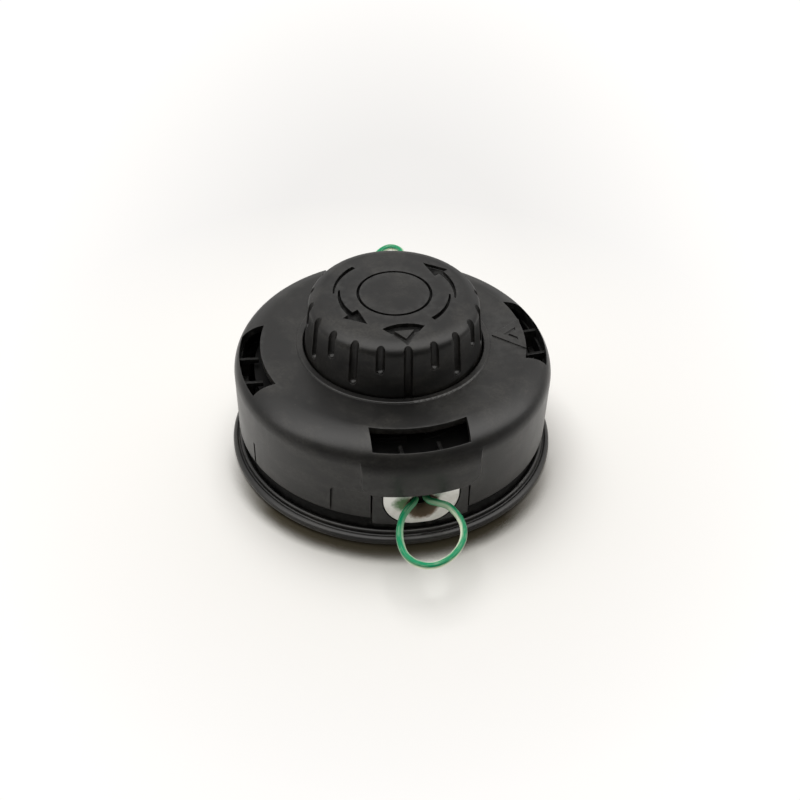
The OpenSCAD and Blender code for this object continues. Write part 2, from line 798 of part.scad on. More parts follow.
module chevron() {
    tip_r = chevron_base_r - chevron_l;
    difference() {
        inward_triangle(tip_r, chevron_base_r, chevron_half_w);
        inward_triangle(tip_r + 1.8, chevron_base_r + eps, chevron_half_w - 1.4);
    }
}

module pointer_triangle() {
    rotate([0, 0, pointer_angle])
        difference() {
            translate([0, 0, cover_top - cover_t / 2])
                linear_extrude(cover_t / 2 + pointer_h)
                    inward_triangle(pointer_tip_r, pointer_base_r, pointer_half_w);
            translate([0, 0, cover_top + pointer_h - chevron_depth]) linear_extrude(1) chevron();
        }
}

module cover() color(black_plastic) {
    difference() {
        union() {
            rotate_extrude() cover_profile();
            front_and_rear() visor();
            pointer_triangle();
        }
        cover_windows();
        front_and_rear() {
            cover_notch();
            thumb_recess();
        }
        tongue_slits();
    }
    gussets();
    tongue_hooks();
    // the cover's half of the ratchet hangs from its ceiling on a plain ring
    translate([0, 0, ratchet_z]) rotate([180, 0, 0]) ratchet_ring();
    translate([0, 0, ratchet_z])
        washer(tooth_in_r - ratchet_land, tooth_out_r + ratchet_land, cover_ceiling + root - ratchet_z);
}

module eyelet() {
    difference() {
        union() {
            intersection() {
                upright(plate_in, flange_r) plate_outline(0, boss_top);
                cylinder(r = boss_face_r, h = far);
            }
            upright(base_in_r - 1, plate_in + eps) u_outline(neck_r, boss_top);
            intersection() {
                upright(eyelet_in, base_in_r) u_outline(inner_flange_r, boss_top);
                cylinder(r = base_in_r - 0.1, h = far);
            }
        }
        translate([0, 0, eyelet_z])
            rotate([90, 0, 0]) {
                cylinder(r = eyelet_bore_r, h = far, $fn = 48);
                translate([0, 0, boss_face_r - mouth_l])
                    cylinder(r1 = eyelet_bore_r, r2 = eyelet_mouth_r, h = mouth_l, $fn = 48);
                translate([0, 0, boss_face_r - eps]) cylinder(r = eyelet_mouth_r, h = 5, $fn = 48);
            }
    }
}

module front_eyelet() color(bright_metal) {
    eyelet();
}

module rear_eyelet() color(bright_metal) {
    rotate([0, 0, 180]) eyelet();
}

module front_loop() color(line_green) {
    tube(smooth(front_route, 2), line_d / 2);
}

module rear_loop() color(line_green) {
    tube(smooth(rear_route, 2), line_d / 2);
}

base_housing();
drive_nut();
nut_washer();
hub_sleeve();
spring_washer();
spring();
thrust_cup();
spool();
lower_winding();
upper_winding();
bump_knob();
knob_screws();
cover();
front_eyelet();
rear_eyelet();
front_loop();
rear_loop();
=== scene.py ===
"""Line trimmer head with a bump knob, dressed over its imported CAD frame.

Metres, the CAD row's own frame: the turning axis is Z, the head stands on its flange at Z = 0 and the
front eyelet looks along -Y. Every new piece takes its size and place from the frame's nodes.
"""

import logging
import math
from collections.abc import Callable, Sequence
from dataclasses import dataclass, field
from enum import Enum

import bmesh
import bpy
from mathutils import Matrix, Vector
from mathutils.bvhtree import BVHTree
from mathutils.kdtree import KDTree


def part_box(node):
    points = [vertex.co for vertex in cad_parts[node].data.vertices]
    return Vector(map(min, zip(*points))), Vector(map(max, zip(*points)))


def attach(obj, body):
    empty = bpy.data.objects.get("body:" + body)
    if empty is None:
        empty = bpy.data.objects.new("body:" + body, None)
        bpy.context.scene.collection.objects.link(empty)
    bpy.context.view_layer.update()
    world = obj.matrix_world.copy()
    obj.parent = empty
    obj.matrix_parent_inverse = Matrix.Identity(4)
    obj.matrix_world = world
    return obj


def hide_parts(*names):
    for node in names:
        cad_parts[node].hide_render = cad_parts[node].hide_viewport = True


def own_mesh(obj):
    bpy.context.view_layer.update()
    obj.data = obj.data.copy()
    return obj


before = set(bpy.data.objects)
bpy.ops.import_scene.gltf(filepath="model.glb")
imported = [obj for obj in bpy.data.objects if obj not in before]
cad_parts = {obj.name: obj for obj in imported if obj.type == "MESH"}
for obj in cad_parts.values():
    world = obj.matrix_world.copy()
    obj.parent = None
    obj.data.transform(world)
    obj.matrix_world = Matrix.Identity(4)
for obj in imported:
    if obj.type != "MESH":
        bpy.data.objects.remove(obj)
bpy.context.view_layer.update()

log = logging.getLogger("trimmer_head")

MM = 0.001

Colour = tuple[float, float, float]
Point = tuple[float, float, float]


class Body(Enum):
    """The frame's bodies that a piece may ride on."""

    BASE = "base"
    PLUNGER = "plunger"
    WINDER = "winder"


class Slot(Enum):
    """The record's material slots."""

    HOUSING = "housing_plastic"
    KNOB = "knob_plastic"
    STEEL = "plated_steel"
    SPRING = "spring_steel"
    EYELET = "eyelet_metal"
    LINE = "line_nylon"


# Camera and studio


@dataclass(frozen=True)
class PhotoCamera:
    """The pinhole camera fitted to the photograph.

    Attributes:
        distance: Metres from the origin to the lens.
        elevation: Height of the lens over the floor, in degrees seen from the origin.
        azimuth: Turn of the lens about the axis, from straight in front, in degrees.
        yaw, pitch, roll: Small turns of the camera away from looking at the origin, in degrees.
        focal: Focal length in pixels of the photograph.
        frame_side: Side of the square photograph in pixels.
        sensor: Width of the camera's sensor in millimetres.
    """

    distance: float = 0.560
    elevation: float = 41.370
    azimuth: float = 11.40
    yaw: float = 0.293
    pitch: float = -1.266
    roll: float = -1.284
    focal: float = 1566.2
    frame_side: float = 800.0
    sensor: float = 36.0

    def orientation(self) -> Matrix:
        """Returns the camera's axes in the row's frame, as the columns of a 3 by 3 matrix."""
        lift = math.radians(self.elevation)
        right = Vector((1, 0, 0))
        up = Vector((0, math.sin(lift), math.cos(lift)))
        back = Vector((0, -math.cos(lift), math.sin(lift)))
        aim = Matrix((right, up, back))
        for angle, axis in ((self.yaw, "Y"), (self.pitch, "X"), (self.roll, "Z")):
            aim = Matrix.Rotation(math.radians(angle), 3, axis) @ aim
        return self.turn() @ aim.transposed()

    def turn(self) -> Matrix:
        """Returns the turn about the axis that brings the camera's frame into the row's."""
        return Matrix.Rotation(-math.radians(self.azimuth), 3, "Z")

    def build(self) -> bpy.types.Object:
        """Adds the camera and makes it the scene's own.

        Returns:
            The camera object.
        """
        lift = math.radians(self.elevation)
        data = bpy.data.cameras.new("photo_camera")
        data.sensor_width = self.sensor
        data.lens = self.focal / self.frame_side * self.sensor
        data.clip_start, data.clip_end = 0.01, 50.0
        camera = bpy.data.objects.new("photo_camera", data)
        place = self.turn() @ Vector((0, -math.cos(lift), math.sin(lift))) * self.distance
        camera.matrix_world = Matrix.Translation(place) @ self.orientation().to_4x4()
        bpy.context.scene.collection.objects.link(camera)
        bpy.context.scene.camera = camera
        return camera


@dataclass(frozen=True)
class Softbox:
    """One square area lamp that looks at the head.

    Attributes:
        name: Name of the lamp.
        place: Where it stands, in metres.
        side: Side of the square, in metres.
        watts: Its power.
        tint: Colour of its light.
    """

    name: str
    place: Point
    side: float
    watts: float
    tint: Colour = (1.0, 1.0, 1.0)

    def build(self, target: Vector) -> bpy.types.Object:
        """Adds the lamp.

        Args:
            target: The point that it looks at.

        Returns:
            The lamp object.
        """
        data = bpy.data.lights.new(self.name, "AREA")
        data.shape = "SQUARE"
        data.size = self.side
        data.energy = self.watts
        data.color = self.tint
        lamp = bpy.data.objects.new(self.name, data)
        lamp.location = self.place
        lamp.rotation_euler = (target - Vector(self.place)).to_track_quat("-Z", "Y").to_euler()
        lamp.visible_glossy = False
        bpy.context.scene.collection.objects.link(lamp)
        return lamp


@dataclass
class Studio:
    """The pale floor with a shadow painted into its colour in front of the rim, the world and the lamps.

    Attributes:
        floor_radius: Radius of the round floor, in metres.
        floor_front: How far the floor reaches in front of the axis, in metres.
        floor_colour: Colour of the floor.
        backdrop: Colour of the world and of the far floor as the camera sees them.
        backdrop_level: Brightness of the far floor behind the head and towards the picture's corners.
        near, far: Distances from the axis between which the floor fades into the backdrop, in metres.
        fill: Brightness of the front of the room as light.
        fill_tint: Colour of that light.
        window: Brightness of the back of the room as light.
        ceiling: Brightness of the ceiling in reflections.
        dark_room: Brightness of the room behind the camera in reflections.
        wall: Brightness of the back wall in reflections.
        floor_gloss: Brightness of the near and the far floor in reflections.
        painted_shadow_reach: How far the search for the rim reaches, in metres, for the shadow painted into the
            floor's colour.
        painted_shadow_side: Direction from the floor towards the light that the rim keeps off, seen from the front.
        painted_shadow_open: How open that side is where the floor is plain and where the painted shadow is darkest.
        painted_shadow_colour: Colour of the painted shadow on the floor right beside the rim.
        lamps: The softboxes.
    """

    floor_radius: float = 4.0
    floor_front: float = 0.26
    floor_colour: Colour = (0.86, 0.85, 0.83)
    backdrop: Colour = (1.0, 0.984, 0.965)
    backdrop_level: tuple[float, float] = (0.885, 1.04)
    near: float = 0.058
    far: float = 0.155
    fill: float = 0.30
    fill_tint: Colour = (1.0, 0.94, 0.82)
    window: float = 1.0
    ceiling: float = 2.9
    dark_room: float = 0.08
    wall: float = 0.70
    floor_gloss: tuple[float, float] = (0.88, 0.40)
    painted_shadow_reach: float = 0.015
    painted_shadow_side: Point = (0.16, 0.78, 0.60)
    painted_shadow_open: tuple[float, float] = (0.745, 0.635)
    painted_shadow_colour: Colour = (0.075, 0.065, 0.045)
    lamps: Sequence[Softbox] = (
        Softbox("key_softbox", (-0.06, 0.40, 1.12), 0.90, 12.0),
    )

    def build(self) -> None:
        """Builds the floor, the world and the lamps."""
        self.build_world()
        self.build_floor()
        for lamp in self.lamps:
            lamp.build(Vector((0, 0, 0.03)))

    def build_world(self) -> None:
        """Gives the world its light, its plain look to the camera, and the room that gloss shows."""
        world = bpy.data.worlds.new("studio_world")
        world.use_nodes = True
        sheet = Sheet(world.node_tree)
        sheet.clear()
        way = sheet.add("ShaderNodeSeparateXYZ", {0: sheet.add("ShaderNodeTexCoord").outputs["Generated"]})
        ahead = sheet.math("MULTIPLY", way.outputs["Y"], -1.0)
        lift = sheet.math("DEGREES", sheet.math("ARCTAN2", way.outputs["Z"], ahead), 0.0)
        behind = sheet.ramp(lift, 92.0, 128.0)
        light = sheet.mapped(behind, self.fill, self.window)
        above = sheet.mapped(sheet.ramp(lift, 30.0, 46.0), self.dark_room, self.ceiling)
        room = sheet.add("ShaderNodeMix", {0: sheet.ramp(lift, 78.0, 134.0), 2: above}, data_type="FLOAT")
        room.inputs[3].default_value = self.wall
        path = sheet.add("ShaderNodeLightPath")
        seen = sheet.add("ShaderNodeMix", {0: path.outputs["Is Camera Ray"], 2: room}, data_type="FLOAT")
        seen.inputs[3].default_value = 1.0
        strength = sheet.add("ShaderNodeMix", {0: sheet.seen_directly(), 2: light, 3: seen}, data_type="FLOAT")
        plain = sheet.math("MAXIMUM", behind, sheet.seen_directly())
        tint = sheet.blend(plain, self.fill_tint, self.backdrop)
        look = sheet.add("ShaderNodeBackground", {"Strength": strength, "Color": tint})
        sheet.add("ShaderNodeOutputWorld", {"Surface": look})
        bpy.context.scene.world = world

    def build_floor(self) -> None:
        """Builds the round floor and its material, with a painted shadow in front of the rim."""
        bm = bmesh.new()
        bmesh.ops.create_circle(bm, cap_ends=True, segments=96, radius=self.floor_radius)
        bmesh.ops.translate(bm, verts=bm.verts, vec=(0, self.floor_radius - self.floor_front, 0))
        mesh = bpy.data.meshes.new("floor")
        bm.to_mesh(mesh)
        bm.free()
        floor = bpy.data.objects.new("floor", mesh)
        bpy.context.scene.collection.objects.link(floor)
        material = bpy.data.materials.new("studio_floor")
        material.use_nodes = True
        sheet = Sheet(material.node_tree)
        shader = material.node_tree.nodes["Principled BSDF"]
        # Painted shadow: an occlusion search towards the back darkens the floor's colour in front of the rim, seen
        # by the camera only, standing in for the rim's cast shadow.
        side = sheet.add("ShaderNodeCombineXYZ", X=self.painted_shadow_side[0], Y=self.painted_shadow_side[1],
                         Z=self.painted_shadow_side[2])
        close = sheet.add("ShaderNodeAmbientOcclusion", {"Normal": side}, Distance=self.painted_shadow_reach, samples=20)
        eye = sheet.add("ShaderNodeLightPath").outputs["Is Camera Ray"]
        place = sheet.add("ShaderNodeTexCoord").outputs["Object"]
        outward = sheet.add("ShaderNodeVectorMath", {0: place}, operation="NORMALIZE")
        facing = sheet.add("ShaderNodeVectorMath", {0: outward, 1: side}, operation="DOT_PRODUCT").outputs["Value"]
        painted_shadow_share = sheet.math("MULTIPLY", sheet.ramp(close.outputs["AO"], *self.painted_shadow_open), eye)
        painted_shadow_share = sheet.math("MULTIPLY", painted_shadow_share, sheet.ramp(facing, -0.10, -0.58))
        sheet.link(sheet.blend(painted_shadow_share, self.floor_colour, self.painted_shadow_colour), shader.inputs["Base Color"])
        shader.inputs["Roughness"].default_value = 0.85
        shader.inputs["Specular IOR Level"].default_value = 0.1
        away = sheet.add("ShaderNodeVectorMath", {0: place}, operation="LENGTH").outputs["Value"]
        mirrored = sheet.mapped(sheet.ramp(away, 0.08, 0.14), *self.floor_gloss)
        oval = sheet.add("ShaderNodeMapping", {"Vector": place}, vector_type="TEXTURE")
        oval.inputs["Location"].default_value = (0.018, 0.088, 0.0)
        oval.inputs["Rotation"].default_value = (0.0, 0.0, math.radians(-11.4))
        oval.inputs["Scale"].default_value = (1.0, 2.0, 1.0)
        spread = sheet.add("ShaderNodeVectorMath", {0: oval}, operation="LENGTH").outputs["Value"]
        plain = sheet.mapped(sheet.ramp(spread, 0.055, 0.148), *self.backdrop_level)
        strength = sheet.add("ShaderNodeMix", {0: eye, 2: mirrored, 3: plain}, data_type="FLOAT")
        glow = sheet.add("ShaderNodeEmission", {"Strength": strength})
        glow.inputs["Color"].default_value = (*self.backdrop, 1)
        share = sheet.math("MULTIPLY", sheet.ramp(away, self.near, self.far), sheet.seen_directly())
        mix = sheet.add("ShaderNodeMixShader", {0: share, 1: shader, 2: glow})
        sheet.link(mix, material.node_tree.nodes["Material Output"].inputs["Surface"])
        mesh.materials.append(material)


# Materials


class Sheet:
    """A node tree with short calls for adding and joining nodes."""

    def __init__(self, tree: bpy.types.NodeTree) -> None:
        """Args:
            tree: The node tree that the calls work on.
        """
        self.tree = tree

    def clear(self) -> None:
        """Removes every node."""
        self.tree.nodes.clear()

    def add(self, kind: str, links: dict | None = None, **values: object) -> bpy.types.Node:
        """Adds one node.

        Args:
            kind: Type of the node.
            links: For each input, by name or number, the node or socket that feeds it.
            **values: Values of inputs by name with spaces as underscores, or else of the node's own settings.

        Returns:
            The node.
        """
        node = self.tree.nodes.new(kind)
        settings = {k: v for k, v in values.items() if k[0].islower()}
        for key, value in settings.items():
            setattr(node, key, value)
        for key, value in values.items():
            if key not in settings:
                node.inputs[key.replace("_", " ")].default_value = value
        for key, source in (links or {}).items():
            self.link(source, node.inputs[key])
        return node

    def link(self, source: bpy.types.Node | bpy.types.NodeSocket, target: bpy.types.NodeSocket) -> None:
        """Joins a node's first output, or a given output, to an input.

        Args:
            source: The node or output.
            target: The input.
        """
        output = source if isinstance(source, bpy.types.NodeSocket) else source.outputs[0]
        self.tree.links.new(output, target)

    def seen_directly(self) -> bpy.types.Node:
        """Returns a node that is 1 for rays from the camera, off gloss and through glass."""
        path = self.add("ShaderNodeLightPath")
        gloss = self.add("ShaderNodeMath", {0: path.outputs["Is Camera Ray"], 1: path.outputs["Is Glossy Ray"]},
                         operation="MAXIMUM")
        return self.add("ShaderNodeMath", {0: gloss, 1: path.outputs["Is Transmission Ray"]}, operation="MAXIMUM")

    def math(self, operation: str, first: object, second: object) -> bpy.types.Node:
        """Adds a Math node.

        Args:
            operation: What it does.
            first: A node, an output or a number.
            second: A node, an output or a number.

        Returns:
            The node.
        """
        node = self.add("ShaderNodeMath", operation=operation)
        for i, value in enumerate((first, second)):
            if isinstance(value, (int, float)):
                node.inputs[i].default_value = value
            else:
                self.link(value, node.inputs[i])
        return node

    def noise(self, scale: float, detail: float = 2.0, roughness: float = 0.5,
              stretch: Point | None = None) -> bpy.types.NodeSocket:
        """Adds noise on Object coordinates.

        Args:
            scale: Blobs per metre.
            detail: Octaves.
            roughness: Share of each finer octave.
            stretch: Scale of each axis, where the noise isn't round.

        Returns:
            The noise's value.
        """
        place = self.add("ShaderNodeTexCoord").outputs["Object"]
        if stretch:
            mapping = self.add("ShaderNodeMapping", {"Vector": place})
            mapping.inputs["Scale"].default_value = stretch
            place = mapping.outputs["Vector"]
        node = self.add("ShaderNodeTexNoise", {"Vector": place}, Scale=scale, Detail=detail, Roughness=roughness)
        return node.outputs["Fac"]

    def ramp(self, value: object, low: float, high: float) -> bpy.types.Node:
        """Adds a clamped ramp from 0 at low to 1 at high.

        Args:
            value: The node or output that is mapped.
            low: Where the ramp is 0.
            high: Where the ramp is 1.

        Returns:
            The Map Range node.
        """
        return self.add("ShaderNodeMapRange", {"Value": value}, From_Min=low, From_Max=high)

    def mapped(self, value: object, low: float, high: float) -> bpy.types.Node:
        """Adds a clamped map from 0 and 1 to two other numbers.

        Args:
            value: The node or output that is mapped.
            low: What 0 becomes.
            high: What 1 becomes.

        Returns:
            The Map Range node.
        """
        return self.add("ShaderNodeMapRange", {"Value": value}, To_Min=low, To_Max=high)

    def blend(self, share: object, first: Colour, second: Colour) -> bpy.types.NodeSocket:
        """Mixes two colours.

        Args:
            share: The node or output that says how much of the second colour shows.
            first: A colour, or the output of another mix.
            second: A colour, or the output of another mix.

        Returns:
            The mixed colour.
        """
        node = self.add("ShaderNodeMix", data_type="RGBA")
        self.link(share, node.inputs[0])
        for value, socket in ((first, node.inputs[6]), (second, node.inputs[7])):
            if isinstance(value, bpy.types.NodeSocket):
                self.link(value, socket)
            else:
                socket.default_value = (*value, 1)
        return node.outputs[2]


class EffectGroups:
    """The shader groups that several finishes share, each built once."""

    def __init__(self) -> None:
        """Builds the groups."""
        self.grain = self.build_grain()
        self.wear = self.build_wear()
        self.dust = self.build_dust()
        self.scuffs = self.build_scuffs()

    @staticmethod
    def start(name: str, inputs: Sequence[tuple[str, float]], outputs: Sequence[str]) -> tuple[Sheet, dict]:
        """Starts a group.

        Args:
            name: Name of the group.
            inputs: Name and value of each number that goes in.
            outputs: Names of the numbers that come out.

        Returns:
            The group's sheet, and its input and output nodes.
        """
        tree = bpy.data.node_groups.new(name, "ShaderNodeTree")
        for label, value in inputs:
            tree.interface.new_socket(label, in_out="INPUT", socket_type="NodeSocketFloat").default_value = value
        for label in outputs:
            tree.interface.new_socket(label, in_out="OUTPUT", socket_type="NodeSocketFloat")
        sheet = Sheet(tree)
        return sheet, {"in": sheet.add("NodeGroupInput"), "out": sheet.add("NodeGroupOutput")}

    def build_grain(self) -> bpy.types.NodeTree:
        """Spark-eroded grain of a moulding: a height, and a slow cloud that varies gloss and colour."""
        sheet, ends = self.start("moulded_grain", [("Grain Scale", 2600.0), ("Cloud Scale", 60.0)],
                                 ["Height", "Cloud"])
        place = sheet.add("ShaderNodeTexCoord").outputs["Object"]
        fine = sheet.add("ShaderNodeTexNoise", {"Vector": place, "Scale": ends["in"].outputs["Grain Scale"]},
                         Detail=3.0, Roughness=0.6)
        cloud = sheet.add("ShaderNodeTexNoise", {"Vector": place, "Scale": ends["in"].outputs["Cloud Scale"]},
                          Detail=4.0, Roughness=0.6)
        sheet.link(fine.outputs["Fac"], ends["out"].inputs["Height"])
        sheet.link(cloud.outputs["Fac"], ends["out"].inputs["Cloud"])
        return sheet.tree

    def build_wear(self) -> bpy.types.NodeTree:
        """Rubbed edges: a mask from the piece's own edge attribute, broken up by noise."""
        sheet, ends = self.start("edge_wear", [("Amount", 1.0)], ["Mask"])
        edge = sheet.add("ShaderNodeAttribute", attribute_name="edge").outputs["Fac"]
        broken = sheet.ramp(sheet.noise(420.0, 3.0, 0.6), 0.38, 0.66)
        mask = sheet.math("MULTIPLY", edge, broken)
        mask = sheet.math("MULTIPLY", mask, ends["in"].outputs["Amount"])
        sheet.link(mask, ends["out"].inputs["Mask"])
        return sheet.tree

    def build_dust(self) -> bpy.types.NodeTree:
        """Sparse pale specks, mostly on faces that look up."""
        sheet, ends = self.start("dust_specks", [("Cover", 0.5)], ["Mask"])
        place = sheet.add("ShaderNodeTexCoord").outputs["Object"]
        cells = sheet.add("ShaderNodeTexVoronoi", {"Vector": place}, Scale=260.0)
        near = sheet.ramp(cells.outputs["Distance"], 0.10, 0.04)
        patch = sheet.ramp(sheet.noise(75.0, 2.0), 0.60, 0.70)
        up = sheet.add("ShaderNodeSeparateXYZ", {0: sheet.add("ShaderNodeNewGeometry").outputs["Normal"]})
        level = sheet.ramp(up.outputs["Z"], 0.2, 0.9)
        mask = sheet.math("MULTIPLY", sheet.math("MULTIPLY", near, patch), level)
        mask = sheet.math("MULTIPLY", mask, ends["in"].outputs["Cover"])
        sheet.link(mask, ends["out"].inputs["Mask"])
        return sheet.tree


    def build_scuffs(self) -> bpy.types.NodeTree:
        """Pale scuffed patches, drawn out level along the walls, with a fine fleck in them."""
        sheet, ends = self.start("scuffed_patches", [("Cover", 0.5)], ["Mask"])
        patch = sheet.ramp(sheet.noise(70.0, 4.0, 0.62, (1.0, 1.0, 2.2)), 0.46, 0.74)
        fleck = sheet.mapped(sheet.ramp(sheet.noise(1100.0, 2.0, 0.6), 0.38, 0.66), 0.35, 1.0)
        mask = sheet.math("MULTIPLY", sheet.math("MULTIPLY", patch, fleck), ends["in"].outputs["Cover"])
        sheet.link(mask, ends["out"].inputs["Mask"])
        return sheet.tree


@dataclass(frozen=True)
class MouldedPlastic:
    """Black glass-filled nylon with a spark-eroded grain.

    Attributes:
        name: Name of the material.
        colour: Colour of the plastic.
        cloud_colour: Colour in the paler clouds of the surface.
        wear_colour: Colour of rubbed edges.
        dust_colour: Colour of dust.
        scuff_colour: Colour of scuffed patches.
        roughness: Lowest and highest roughness.
        specular: Specular level.
        grain: Depth of the grain, in metres.
        grain_scale: Grains per metre.
        dust: Amount of dust.
        scuffs: Amount of scuffed patches.
        wear: Amount of edge wear.
        edge: Radius of the softness of edges, in metres.
    """

    name: str
    colour: Colour = (0.0064, 0.0063, 0.0061)
    cloud_colour: Colour = (0.0096, 0.0093, 0.0089)
    wear_colour: Colour = (0.040, 0.040, 0.039)
    dust_colour: Colour = (0.10, 0.098, 0.092)
    scuff_colour: Colour = (0.042, 0.040, 0.036)
    roughness: tuple[float, float] = (0.31, 0.38)
    specular: float = 0.44
    grain: float = 0.000017
    grain_scale: float = 2100.0
    dust: float = 0.35
    scuffs: float = 0.8
    wear: float = 0.5
    edge: float = 0.00022

    def build(self, effects: EffectGroups) -> bpy.types.Material:
        """Builds the material.

        Args:
            effects: The shared shader groups.

        Returns:
            The material.
        """
        material = bpy.data.materials.new(self.name)
        material.use_nodes = True
        sheet = Sheet(material.node_tree)
        shader = material.node_tree.nodes["Principled BSDF"]
        shader.inputs["Specular IOR Level"].default_value = self.specular
        grain = sheet.add("ShaderNodeGroup", node_tree=effects.grain, Grain_Scale=self.grain_scale)
        wear = sheet.add("ShaderNodeGroup", node_tree=effects.wear, Amount=self.wear)
        dust = sheet.add("ShaderNodeGroup", node_tree=effects.dust, Cover=self.dust)
        scuffs = sheet.add("ShaderNodeGroup", node_tree=effects.scuffs, Cover=self.scuffs)
        cloud = sheet.ramp(grain.outputs["Cloud"], 0.35, 0.68)
        colour = sheet.blend(cloud, self.colour, self.cloud_colour)
        colour = sheet.blend(scuffs, colour, self.scuff_colour)
        colour = sheet.blend(wear, colour, self.wear_colour)
        colour = sheet.blend(dust, colour, self.dust_colour)
        sheet.link(colour, shader.inputs["Base Color"])
        gloss = sheet.add("ShaderNodeMapRange", {"Value": grain.outputs["Cloud"]}, From_Min=0.3, From_Max=0.7,
                          To_Min=self.roughness[0], To_Max=self.roughness[1])
        sheet.link(gloss, shader.inputs["Roughness"])
        soft = sheet.add("ShaderNodeBevel", Radius=self.edge, samples=6)
        bump = sheet.add("ShaderNodeBump", {"Height": grain.outputs["Height"], "Normal": soft}, Strength=1.0,
                         Distance=self.grain)
        sheet.link(bump, shader.inputs["Normal"])
        return material


@dataclass(frozen=True)
class Smear:
    """A soft-edged patch on a surface, for dirt, rubbed-off line, painted shade and painted reflections.

    Attributes:
        place: Its middle, in millimetres.
        size: Its half sizes, in millimetres.
        colour: Its colour.
        strength: How much of that colour shows in its middle.
        soft: Width of its soft edge, as a share of its size.
        ragged: How uneven that edge is, as a share of its size.
    """

    place: Point
    size: Point
    colour: Colour
    strength: float
    soft: float = 0.35
    ragged: float = 0.9

    def share(self, sheet: Sheet) -> bpy.types.Node:
        """Adds the patch's mask.

        Args:
            sheet: The material's sheet.

        Returns:
            The node that says how much of the patch shows.
        """
        place = sheet.add("ShaderNodeTexCoord").outputs["Object"]
        offset = sheet.add("ShaderNodeVectorMath", {0: place}, operation="SUBTRACT")
        offset.inputs[1].default_value = Vector(self.place) * MM
        scaled = sheet.add("ShaderNodeVectorMath", {0: offset}, operation="DIVIDE")
        scaled.inputs[1].default_value = Vector(self.size) * MM
        away = sheet.add("ShaderNodeVectorMath", {0: scaled}, operation="LENGTH").outputs["Value"]
        uneven = sheet.math("MULTIPLY_ADD", sheet.noise(520.0, 4.0, 0.65), self.ragged)
        sheet.link(away, uneven.inputs[2])
        return sheet.math("MULTIPLY", sheet.ramp(uneven, 1.0 + self.soft, 1.0), self.strength)


@dataclass(frozen=True)
class BareMetal:
    """Cast, plated or drawn metal.

    Attributes:
        name: Name of the material.
        colour: Colour of the metal.
        stain: Colour of its darker patches.
        roughness: Lowest and highest roughness.
        lines: Lines per metre of the fine marks that the surface has.
        depth: Depth of those marks, in metres.
        stretch: Scale of each axis for those marks.
        smears: Patches of dirt and rubbed-off line, some of them also painted shade and a painted reflection.
    """

    name: str
    colour: Colour
    stain: Colour
    roughness: tuple[float, float]
    lines: float = 900.0
    depth: float = 0.00002
    stretch: Point = (1.0, 1.0, 1.0)
    smears: Sequence[Smear] = ()

    def build(self, effects: EffectGroups) -> bpy.types.Material:
        """Builds the material.

        Args:
            effects: The shared shader groups.

        Returns:
            The material.
        """
        material = bpy.data.materials.new(self.name)
        material.use_nodes = True
        sheet = Sheet(material.node_tree)
        shader = material.node_tree.nodes["Principled BSDF"]
        shader.inputs["Metallic"].default_value = 1.0
        shader.inputs["Specular IOR Level"].default_value = 0.2
        grain = sheet.add("ShaderNodeGroup", node_tree=effects.grain, Grain_Scale=self.lines, Cloud_Scale=140.0)
        cloud = sheet.ramp(grain.outputs["Cloud"], 0.42, 0.74)
        colour = sheet.blend(cloud, self.colour, self.stain)
        gloss = sheet.add("ShaderNodeMapRange", {"Value": grain.outputs["Cloud"]}, From_Min=0.3, From_Max=0.7,
                          To_Min=self.roughness[0], To_Max=self.roughness[1])
        bare = 1.0
        for smear in self.smears:
            share = smear.share(sheet)
            colour = sheet.blend(share, colour, smear.colour)
            gloss = sheet.math("MAXIMUM", gloss, sheet.math("MULTIPLY", share, 0.75))
            bare = sheet.math("SUBTRACT", bare, share)
        if self.smears:
            sheet.link(sheet.math("MAXIMUM", bare, 0.0), shader.inputs["Metallic"])
        sheet.link(colour, shader.inputs["Base Color"])
        sheet.link(gloss, shader.inputs["Roughness"])
        marks = sheet.noise(self.lines, 2.0, 0.5, self.stretch)
        bump = sheet.add("ShaderNodeBump", {"Height": marks}, Strength=1.0, Distance=self.depth)
        sheet.link(bump, shader.inputs["Normal"])
        return material


